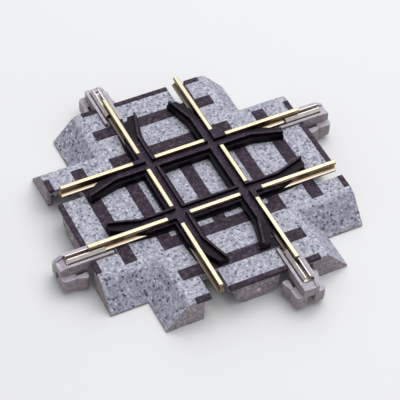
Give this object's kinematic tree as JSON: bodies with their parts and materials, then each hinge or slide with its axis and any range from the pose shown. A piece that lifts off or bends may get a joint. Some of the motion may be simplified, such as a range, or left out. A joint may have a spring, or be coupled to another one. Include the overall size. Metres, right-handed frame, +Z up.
{
  "type": "model railway 90 degree crossing",
  "caption": "Model railway crossing where two straight tracks meet at a right angle on a ballasted roadbed, with fixed frogs, guard rails and pull-off rail joiners.",
  "frame": {"origin": "on the table, under the middle of the crossing", "axes": "+X along one track, +Y along the other, +Z up; every arm is the +X arm turned by quarter turns"},
  "size_m": [0.0404, 0.0404, 0.005],
  "materials": {
    "ballast_plastic": "matte, printed with dark and light granite specks",
    "tie_plastic": "matte dark brown with a faint wood grain",
    "frog_plastic": "satin black",
    "rail_metal": "bright drawn rail, polished on top",
    "joiner_plastic": "satin light grey",
    "clip_metal": "bright sheet metal",
    "jumper_metal": "plain spring bronze strip",
    "insulator_sheet": "matte fibre sheet",
    "cover_plastic": "matte dark grey",
    "screw_steel": "plain steel"
  },
  "bodies": {
    "crossing": {"roadbed_shell": "ballast_plastic", "centre_tie_frame": "tie_plastic", "crossing_frog_grid": "frog_plastic", "outer_tie_east": "tie_plastic", "end_ties_east": "tie_plastic", "joined_rail_east": "rail_metal", "free_rail_east": "rail_metal", "middle_rail_east": "rail_metal", "jumper_east": "jumper_metal", "outer_tie_north": "tie_plastic", "end_ties_north": "tie_plastic", "joined_rail_north": "rail_metal", "free_rail_north": "rail_metal", "middle_rail_north": "rail_metal", "jumper_north": "jumper_metal", "outer_tie_west": "tie_plastic", "end_ties_west": "tie_plastic", "joined_rail_west": "rail_metal", "free_rail_west": "rail_metal", "middle_rail_west": "rail_metal", "jumper_west": "jumper_metal", "outer_tie_south": "tie_plastic", "end_ties_south": "tie_plastic", "joined_rail_south": "rail_metal", "free_rail_south": "rail_metal", "middle_rail_south": "rail_metal", "jumper_south": "jumper_metal", "jumper_insulator": "insulator_sheet", "bottom_cover": "cover_plastic", "cover_screws": "screw_steel"},
    "joiner_east": {"joiner_housing_east": "joiner_plastic", "joiner_clip_east": "clip_metal"},
    "latch_east_left": {"joiner_latch_east_left": "joiner_plastic"},
    "latch_east_right": {"joiner_latch_east_right": "joiner_plastic"},
    "joiner_north": {"joiner_housing_north": "joiner_plastic", "joiner_clip_north": "clip_metal"},
    "latch_north_left": {"joiner_latch_north_left": "joiner_plastic"},
    "latch_north_right": {"joiner_latch_north_right": "joiner_plastic"},
    "joiner_west": {"joiner_housing_west": "joiner_plastic", "joiner_clip_west": "clip_metal"},
    "latch_west_left": {"joiner_latch_west_left": "joiner_plastic"},
    "latch_west_right": {"joiner_latch_west_right": "joiner_plastic"},
    "joiner_south": {"joiner_housing_south": "joiner_plastic", "joiner_clip_south": "clip_metal"},
    "latch_south_left": {"joiner_latch_south_left": "joiner_plastic"},
    "latch_south_right": {"joiner_latch_south_right": "joiner_plastic"}
  },
  "joints": [
    {"name": "joiner_east_pull", "type": "slide", "parent": "crossing", "child": "joiner_east", "axis": [1, 0, 0], "range_m": [0, 0.005]},
    {"name": "latch_east_left_flex", "type": "hinge", "parent": "joiner_east", "child": "latch_east_left", "pos_m": [0.0184, 0.00658, 0.00145], "axis": [0, 0, 1], "range_deg": [0, 12], "stiffness_Nm_per_rad": 0.0004},
    {"name": "latch_east_right_flex", "type": "hinge", "parent": "joiner_east", "child": "latch_east_right", "pos_m": [0.0184, 0.00317, 0.00145], "axis": [0, 0, -1], "range_deg": [0, 12], "stiffness_Nm_per_rad": 0.0004},
    {"name": "joiner_north_pull", "type": "slide", "parent": "crossing", "child": "joiner_north", "axis": [0, 1, 0], "range_m": [0, 0.005]},
    {"name": "latch_north_left_flex", "type": "hinge", "parent": "joiner_north", "child": "latch_north_left", "pos_m": [-0.00658, 0.0184, 0.00145], "axis": [0, 0, 1], "range_deg": [0, 12], "stiffness_Nm_per_rad": 0.0004},
    {"name": "latch_north_right_flex", "type": "hinge", "parent": "joiner_north", "child": "latch_north_right", "pos_m": [-0.00317, 0.0184, 0.00145], "axis": [0, 0, -1], "range_deg": [0, 12], "stiffness_Nm_per_rad": 0.0004},
    {"name": "joiner_west_pull", "type": "slide", "parent": "crossing", "child": "joiner_west", "axis": [-1, 0, 0], "range_m": [0, 0.005]},
    {"name": "latch_west_left_flex", "type": "hinge", "parent": "joiner_west", "child": "latch_west_left", "pos_m": [-0.0184, -0.00658, 0.00145], "axis": [0, 0, 1], "range_deg": [0, 12], "stiffness_Nm_per_rad": 0.0004},
    {"name": "latch_west_right_flex", "type": "hinge", "parent": "joiner_west", "child": "latch_west_right", "pos_m": [-0.0184, -0.00317, 0.00145], "axis": [0, 0, -1], "range_deg": [0, 12], "stiffness_Nm_per_rad": 0.0004},
    {"name": "joiner_south_pull", "type": "slide", "parent": "crossing", "child": "joiner_south", "axis": [0, -1, 0], "range_m": [0, 0.005]},
    {"name": "latch_south_left_flex", "type": "hinge", "parent": "joiner_south", "child": "latch_south_left", "pos_m": [0.00658, -0.0184, 0.00145], "axis": [0, 0, 1], "range_deg": [0, 12], "stiffness_Nm_per_rad": 0.0004},
    {"name": "latch_south_right_flex", "type": "hinge", "parent": "joiner_south", "child": "latch_south_right", "pos_m": [0.00317, -0.0184, 0.00145], "axis": [0, 0, -1], "range_deg": [0, 12], "stiffness_Nm_per_rad": 0.0004}
  ]
}
